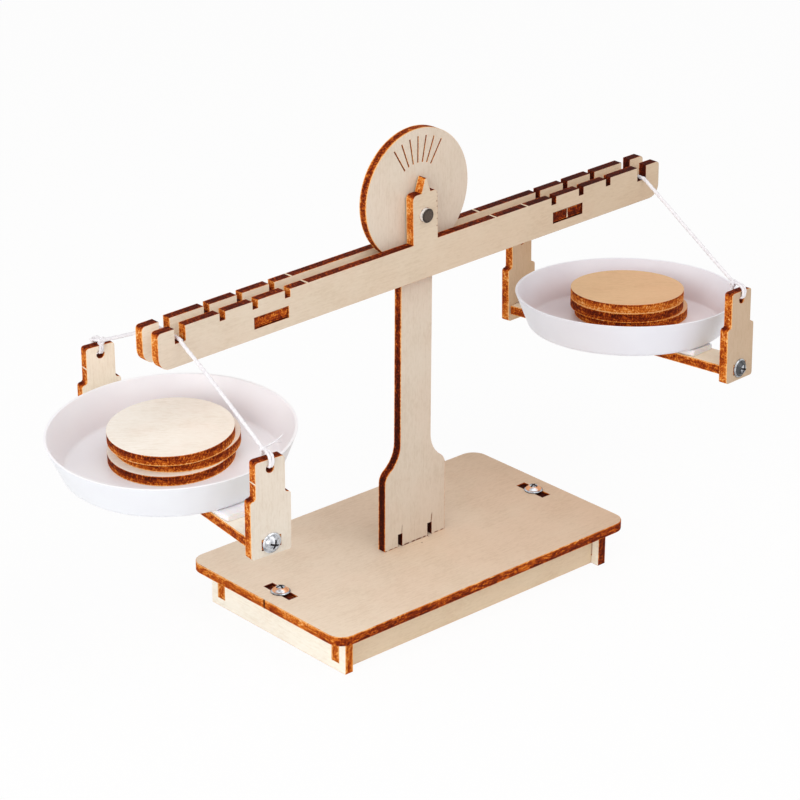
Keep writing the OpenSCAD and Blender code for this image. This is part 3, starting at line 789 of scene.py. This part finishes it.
# A strip of white foam, sticky on both sides, holds each pan on its crossbar.
# It was cut by hand, so its sides wander a little, and it gives where the pan leans on it.
foam_white = "F3F0F2"
foot_brown = "DCCDBC"
pad_floor = 5.3 * MM
pad_height = 2.0 * MM
pad_half_wide = 5.5 * MM
pad_half_long = 32 * MM
pad_corner = 0.9 * MM
pad_stations = 64
pad_round = 28
pad_square = 0.3
pad_wander = 0.14 * MM
slow_wave = 0.45
fast_wave = 1.3
foot_rise = 0.35
skin_gap = 0.02 * MM


def foam_strip(name, side):
    """Soft-cornered strip whose flat base lies on the crossbar and whose top leans with the pan."""
    across, along, lift, zero = hung(side)
    slope = -math.tan(math.radians(pan_lean[side]))
    corners, faces = [], []
    for i in range(pad_stations + 1):
        y = pad_half_long * math.sin(math.pi / 2 * (2 * i / pad_stations - 1))
        past = max(0.0, abs(y) - (pad_half_long - pad_corner)) / pad_corner
        pulled = pad_corner * (1 - math.sqrt(max(0.0, 1 - past * past)))
        sway = math.sin(y / MM * slow_wave) + 0.6 * math.sin(y / MM * fast_wave + 1) - 1.2
        wide = pad_half_wide - pulled + pad_wander * sway
        for k in range(pad_round):
            turn = 2 * math.pi * k / pad_round
            flat, rise = math.cos(turn), math.sin(turn)
            x = wide * math.copysign(abs(flat) ** pad_square, flat)
            half = (pad_height + x * slope) / 2 - skin_gap
            z = pad_floor + skin_gap + half * (1 + math.copysign(abs(rise) ** pad_square, rise))
            corners.append(zero + across * x + along * y + lift * z)
    for i in range(pad_stations):
        for k in range(pad_round):
            n = (k + 1) % pad_round
            a, b = i * pad_round, (i + 1) * pad_round
            faces.append((a + k, b + k, b + n, a + n))
    faces.append(tuple(range(pad_round)))
    faces.append(tuple(range(len(corners) - 1, len(corners) - 1 - pad_round, -1)))
    mesh = bpy.data.meshes.new(name)
    mesh.from_pydata(corners, [], faces)
    mesh.polygons.foreach_set("use_smooth", [True] * len(faces))
    piece = bpy.data.objects.new(name, mesh)
    scene.collection.objects.link(piece)
    normals = piece.modifiers.new("smooth", "WEIGHTED_NORMAL")
    normals.keep_sharp = True
    return piece


def foam(name, side):
    """Closed-cell foam: soft white with fine open pores, browner along its foot on the bar."""
    across, along, lift, zero = hung(side)
    material, tree, surface = finish(name)
    spot = on_sheet(tree, turned(lift, along), zero)
    pore = put(tree, "TexVoronoi", {"Vector": spot, "Scale": 2.6}).outputs["Distance"]
    cloud = noise(tree, spot, scale=0.2, detail=3)
    level = gathered(tree, -0.1, [(pore, 0.7), (cloud, 0.5)])
    white = paint(foam_white)
    colour = ramp(tree, level, [(0.05, tinted(white, 0.84, 0.83, 0.85)), (0.35, white)])
    height = put(tree, "SeparateXYZ", {0: spot}).outputs["Z"]
    near_bar = calc(tree, "SUBTRACT", 1.0, fade(tree, height, pad_floor / MM, pad_floor / MM + foot_rise))
    colour = mixed(tree, calc(tree, "MULTIPLY", near_bar, 0.7), colour, paint(foot_brown))
    fill(tree, surface, {
        "Base Color": colour, "Roughness": 0.85, "Subsurface Weight": 0.2, "Subsurface Scale": 0.001,
        "Normal": raised(tree, pore, strength=0.4, depth=0.12),
    })
    return material


for side in ("left", "right"):
    strip = foam_strip(side + "_foam_strip", side)
    strip.data.materials.append(foam(side + "_white_foam", side))
    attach(strip, side + "_pan_frame")
    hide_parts(side + "_foam_pad")

# The pans are shallow dishes of thin white plastic with a flat floor and a slanted side.
# They were drawn over a hot mould. Inside, the lower side and the floor are painted darker and browner as
# painted shade, most in the right pan.
# Each pan's outside, its inside at the rim, and the painted shade at its inside's floor.
pan_tones = {"left": ("E8EBF0", "FBFBFF", "F8F8FC"), "right": ("E8EAF2", "F5F4FB", "E9E0E2")}
pan_height = 11.4
pan_round = 0.22 * MM
pan_sharp = 50


def moulded(name, tone, floor_shade_tone, turn, centre):
    """Smooth white plastic that lets a little light through, with faint clouds.
    It goes from a painted shade tone at its floor to the tone at its rim."""
    material, tree, surface = finish(name)
    spot = on_sheet(tree, turn, centre)
    cloud = noise(tree, spot, scale=0.07, detail=3)
    ripple = noise(tree, spot, scale=0.5, detail=2)
    height = put(tree, "SeparateXYZ", {0: spot}).outputs["Z"]
    # How far the painted shade at the floor gives way to the rim's tone, going up the side.
    drawn = fade(tree, gathered(tree, -2.0, [(height, 1.0), (cloud, 4.0)]), 0.0, pan_height)
    colour = mixed(tree, drawn, paint(floor_shade_tone), paint(tone))
    shade = ramp(tree, cloud, [(0.35, (0.975, 0.968, 0.975, 1)), (0.65, (1, 1, 1, 1))])
    colour = mixed(tree, 1.0, colour, shade, "MULTIPLY")
    fill(tree, surface, {
        "Base Color": colour, "Roughness": 0.32, "Subsurface Weight": 0.12,
        "Subsurface Radius": (1.0, 1.0, 1.0), "Subsurface Scale": 0.001,
        "Normal": raised(tree, ripple, strength=0.08, depth=0.1),
    })
    return material


def pan_part(face, under, leaned):
    """1 for the inside of a pan and 0 for its outside and rim, from the middle under it and its way up."""
    off = face.center - under
    rise = face.normal.dot(leaned)
    return 1 if off.dot(face.normal) < off.dot(leaned) * rise or rise > 0.5 else 0


for side in ("left", "right"):
    leaned = Vector(joints[side + "_bottom_disc_lift"]["axis"]).normalized()
    turn = turned(leaned, (1, 0, 0))
    low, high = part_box(side + "_pan")
    centre = (low + high) / 2
    floor = min(corner.co.dot(leaned) for corner in nodes[side + "_pan"].data.vertices)
    under = centre + leaned * (floor - centre.dot(leaned))
    outer, inner, inner_floor_shade = pan_tones[side]
    finishes = (
        moulded(side + "_pan_outside", outer, outer, turn, under),
        moulded(side + "_pan_inside", inner, inner_floor_shade, turn, under),
    )
    dress_solid(side + "_pan", finishes, lambda face: pan_part(face, under, leaned), pan_round, pan_sharp)

# Three loose discs of the same plywood lie on each other in each pan as weights.
# Those at the left are paler and those at the right darker, partly their wood and partly painted shade as the
# light falls off to the right; all are charred round their rims, the upper part most.
disc_tones = {"left": ("FBF5EB", "F8F0E3"), "right": ("E9C092", "E4B78B")}
disc_reach = 20
disc_burn = {
    "left_disc_bottom": (0.46, 0.52, 0.64, 0.74, 0.76), "left_disc_middle": (0.36, 0.46, 0.58, 0.68, 0.74),
    "left_disc_top": (0.42, 0.46, 0.56, 0.68, 0.76), "right_disc_bottom": (0.5, 0.5, 0.55, 0.6, 0.6),
    "right_disc_middle": (0.6, 0.62, 0.68, 0.7, 0.66), "right_disc_top": (0.3, 0.3, 0.34, 0.44, 0.8),
}
disc_grain = Vector((0.74, -0.67, 0))
for side in ("left", "right"):
    leaned = Vector(joints[side + "_bottom_disc_lift"]["axis"]).normalized()
    for level in ("bottom", "middle", "top"):
        node = side + "_disc_" + level
        turn = turned(leaned, disc_grain)
        centre = middle(node, leaned)
        dress_sheet(
            node, turn, centre,
            veneer(node + "_face", disc_tones[side], disc_reach, turn, centre),
            scorched(node + "_edge", turn, centre, disc_burn[node], streaks=0.9),
        )

# A white cotton cord lies over both plates in the beam's end notches on each side.
# Each end is tied in a doubled loop through a hanger's hole, with a small knot and a short loose tail.
cord_d = 1.2 * MM
left_run = [
    (-94.8, -43.7, 89.8), (-94.4, -39.5, 91.9), (-94, -34, 94.6), (-93.6, -28, 97.6), (-93.2, -22, 100.6),
    (-92.8, -16, 103.5), (-92.5, -8, 107.4), (-92.3, -5.9, 108.4), (-92.1, -4.9, 108.8), (-91.1, 4.9, 108.8),
    (-90.9, 5.9, 108.4), (-90.6, 8, 107.5), (-89.2, 16, 103.9), (-88.2, 22, 101.1), (-87.3, 28, 98.3),
    (-86.4, 34, 95.5), (-85.6, 39, 93.2), (-85.2, 41.5, 92),
]
right_run = [
    (96.8, -41.3, 87.2), (96.6, -39, 88.9), (96, -34, 92.4), (95.4, -28, 96.7), (94.7, -22, 101),
    (94, -16, 105.4), (93.1, -8, 111.1), (92.9, -5.9, 112.5), (92.8, -4.9, 112.8), (92.8, 4.9, 112.8),
    (92.7, 5.9, 112.5), (92.5, 8, 111.1), (91.8, 16, 105), (91.3, 22, 100.3), (90.8, 28, 95.7),
    (90.2, 34, 91), (89.7, 40, 86.3), (89.4, 44, 83.2),
]
# From the knot out over the hanger, through its hole and back; zero is the hole's centre, -Y is outward.
loop_run = [
    (0.2, 0.4, 4.8), (0.42, -0.9, 4.55), (0.47, -2.05, 3.65), (0.42, -2.3, 2.3), (0.3, -2, 1),
    (0.28, -1.3, 0.6), (0.28, 1.3, 0.6), (0.3, 2, 1), (0.3, 2.3, 2.4),
]
knot_place = (0, 2, 4.5)
strand_share = 0.8
# For each end: the tail from the knot outward, its thickness share, and the knot's size.
cord_ends = {
    ("left", -1): ([(1.6, 1.9, 5.0), (2.8, 1.8, 5.3), (4.1, 1.8, 5.7)], 0.55, 0.72),
    ("left", 1): ([(0.9, 1.3, 4.7), (1.7, 0.6, 4.7), (2.6, 0.0, 4.6)], 0.7, 0.98),
    ("right", -1): ([(-0.6, 2.0, 4.8), (-1.1, 1.9, 5.0), (-1.5, 1.8, 5.3)], 0.7, 1.0),
    ("right", 1): ([(-0.8, 2.0, 4.8), (-1.4, 1.9, 5.0), (-2.0, 1.8, 5.2)], 0.7, 1.0),
}
# The left front tail has frayed into a few thin strands.
loose_strands = (
    ((3.6, 1.8, 5.55), (4.8, 1.8, 6.1), (6.6, 1.7, 7.2)), ((3.6, 1.9, 5.5), (4.9, 1.9, 5.8), (6.0, 2.0, 6.0)),
    ((3.4, 1.7, 5.4), (4.6, 1.5, 5.5), (5.6, 1.4, 5.3)),
)
loose_r = 0.2 * MM
loose_taper = 0.6
knot_cord_r = 0.46 * MM
knot_steps = 90
knot_flat = 0.6
strand_lobes = 3
strand_pitch = 5.2 * MM
lobe_depth = 0.2
cord_sides = 18
cord_step = 0.35 * MM
ease_steps = 3
cord_white = "EFEDF0"


def smooth_path(points, step):
    """Points a small step apart on a smooth curve through the given ones."""
    ends = [points[0] * 2 - points[1], *points, points[-1] * 2 - points[-2]]
    path = []
    for a, b, c, d in zip(ends, ends[1:], ends[2:], ends[3:]):
        count = max(1, round((c - b).length / step))
        for k in range(count):
            t = k / count
            bend = (2 * a - 5 * b + 4 * c - d) * t**2
            swing = (3 * b - a - 3 * c + d) * t**3
            path.append(0.5 * (2 * b + (c - a) * t + bend + swing))
    return path + [points[-1]]


def laid_cord(name, path, radii, closed=False):
    """Cord of laid strands along a path: a lobed section that turns as it goes."""
    count = len(path)
    aside = (path[1] - path[0]).orthogonal().normalized()
    corners, sides, run = [], [], 0.0
    for i, point in enumerate(path):
        after = path[(i + 1) % count] if closed else path[min(i + 1, count - 1)]
        before = path[i - 1] if closed else path[max(i - 1, 0)]
        way = (after - before).normalized()
        aside = (aside - way * aside.dot(way)).normalized()
        over = way.cross(aside)
        run += (point - path[i - 1]).length if i else 0.0
        twist = 2 * math.pi * run / strand_pitch
        for k in range(cord_sides):
            angle = 2 * math.pi * k / cord_sides
            reach = radii[i] * (1 - lobe_depth * (1 - math.cos(strand_lobes * (angle - twist))) / 2)
            corners.append(point + reach * (math.cos(angle) * aside + math.sin(angle) * over))
    rings = count if closed else count - 1
    for i in range(rings):
        for k in range(cord_sides):
            n = (k + 1) % cord_sides
            here, there = i * cord_sides, (i + 1) % count * cord_sides
            sides.append((here + k, here + n, there + n, there + k))
    if not closed:
        sides.append(tuple(range(cord_sides - 1, -1, -1)))
        sides.append(tuple(range(rings * cord_sides, count * cord_sides)))
    mesh = bpy.data.meshes.new(name)
    mesh.from_pydata(corners, [], sides)
    mesh.polygons.foreach_set("use_smooth", [True] * len(mesh.polygons))
    piece = bpy.data.objects.new(name, mesh)
    scene.collection.objects.link(piece)
    return piece


def overhand(name, centre, way, size, radius):
    """Pulled-tight knot: a trefoil of the same cord, closed on itself."""
    turn = way.to_track_quat("Z", "Y")
    path = []
    for i in range(knot_steps):
        t = 2 * math.pi * i / knot_steps
        path.append(centre + turn @ Vector((
            size * (math.sin(t) + 2 * math.sin(2 * t)) / 3,
            size * (math.cos(t) - 2 * math.cos(2 * t)) / 3,
            -size * knot_flat * math.sin(3 * t),
        )))
    return laid_cord(name, path, [radius] * knot_steps, closed=True)


def cotton(name):
    """White cotton: fine hairs along the strands, soft and dull, with grey flecks."""
    material, tree, surface = finish(name)
    spot = in_mm(tree)
    hairs = noise(tree, spot, scale=4.0, detail=4, roughness=0.7)
    cloud = noise(tree, spot, scale=0.9, detail=2)
    level = gathered(tree, 0.0, [(hairs, 0.6), (cloud, 0.4)])
    white = paint(cord_white)
    colour = ramp(tree, level, [(0.36, tinted(white, 0.8, 0.78, 0.8)), (0.54, white)])
    fill(tree, surface, {
        "Base Color": colour, "Roughness": 0.85, "Sheen Weight": 0.15,
        "Normal": raised(tree, hairs, strength=0.3, depth=0.1),
    })
    return material


def at_hole(side, end, point):
    """Where a point given in millimetres from a hanger's hole is; end is -1 in front and 1 at the back."""
    across, along, lift, zero = hung(side)
    x, y, z = (value * MM for value in point)
    hole = zero + lift * hole_rise + along * end * hanger_out
    return hole - end * (across * x + along * y) + lift * z


def loop_at(side, end, hand):
    """One turn of the loop at one end, from the knot outward and back, kept to one hand."""
    knot = at_hole(side, end, knot_place)
    return [knot, *[at_hole(side, end, (hand * x, y, z)) for x, y, z in loop_run], knot]


cotton_white = cotton("cotton_white")
radius = cord_d / 2
for side, run in (("left", left_run), ("right", right_run)):
    main = [Vector(point) * MM for point in run]
    front_knot = at_hole(side, -1, knot_place)
    back_knot = at_hole(side, 1, knot_place)
    front_tail, front_share, front_size = cord_ends[side, -1]
    back_tail, back_share, back_size = cord_ends[side, 1]
    front_points = [at_hole(side, -1, point) for point in front_tail[::-1]]
    back_points = [at_hole(side, 1, point) for point in back_tail]
    front_part = smooth_path([*front_points, front_knot], cord_step)
    back_part = smooth_path([back_knot, *back_points], cord_step)
    front_loop = smooth_path(loop_at(side, -1, 1), cord_step)
    back_loop = smooth_path(loop_at(side, 1, 1)[::-1], cord_step)
    between = smooth_path([front_knot, *main, back_knot], cord_step)
    path = front_part + front_loop[1:] + between[1:] + back_loop[1:] + back_part[1:]
    shares = [front_share] * len(front_part) + [strand_share] * (len(front_loop) - 1)
    shares += [1.0] * (len(between) - 1)
    shares += [strand_share] * (len(back_loop) - 1) + [back_share] * (len(back_part) - 1)
    radii = []
    for i in range(len(shares)):
        near = shares[max(0, i - ease_steps) : i + ease_steps + 1]
        radii.append(radius * (sum(near) / len(near)))
    cord = laid_cord(side + "_hanging_cord", path, radii)
    extras = []
    for end, name, size, way in (
        (-1, "_front", front_size, main[0] - main[2]), (1, "_back", back_size, main[-1] - main[-3]),
    ):
        second = smooth_path(loop_at(side, end, -1), cord_step)
        knot = at_hole(side, end, knot_place)
        extras.append(laid_cord(side + name + "_second_turn", second, [radius * strand_share] * len(second)))
        extras.append(overhand(side + name + "_knot", knot, way, size * MM, knot_cord_r))
    if side == "left":
        for i, strand in enumerate(loose_strands):
            loose = smooth_path([at_hole(side, -1, point) for point in strand], cord_step)
            thinned = [loose_r * (1 - loose_taper * k / len(loose)) for k in range(len(loose))]
            extras.append(laid_cord(f"left_loose_strand_{i}", loose, thinned))
    for piece in (cord, *extras):
        piece.data.materials.append(cotton_white)
        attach(piece, side + "_cord")
    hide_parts(side + "_cord")
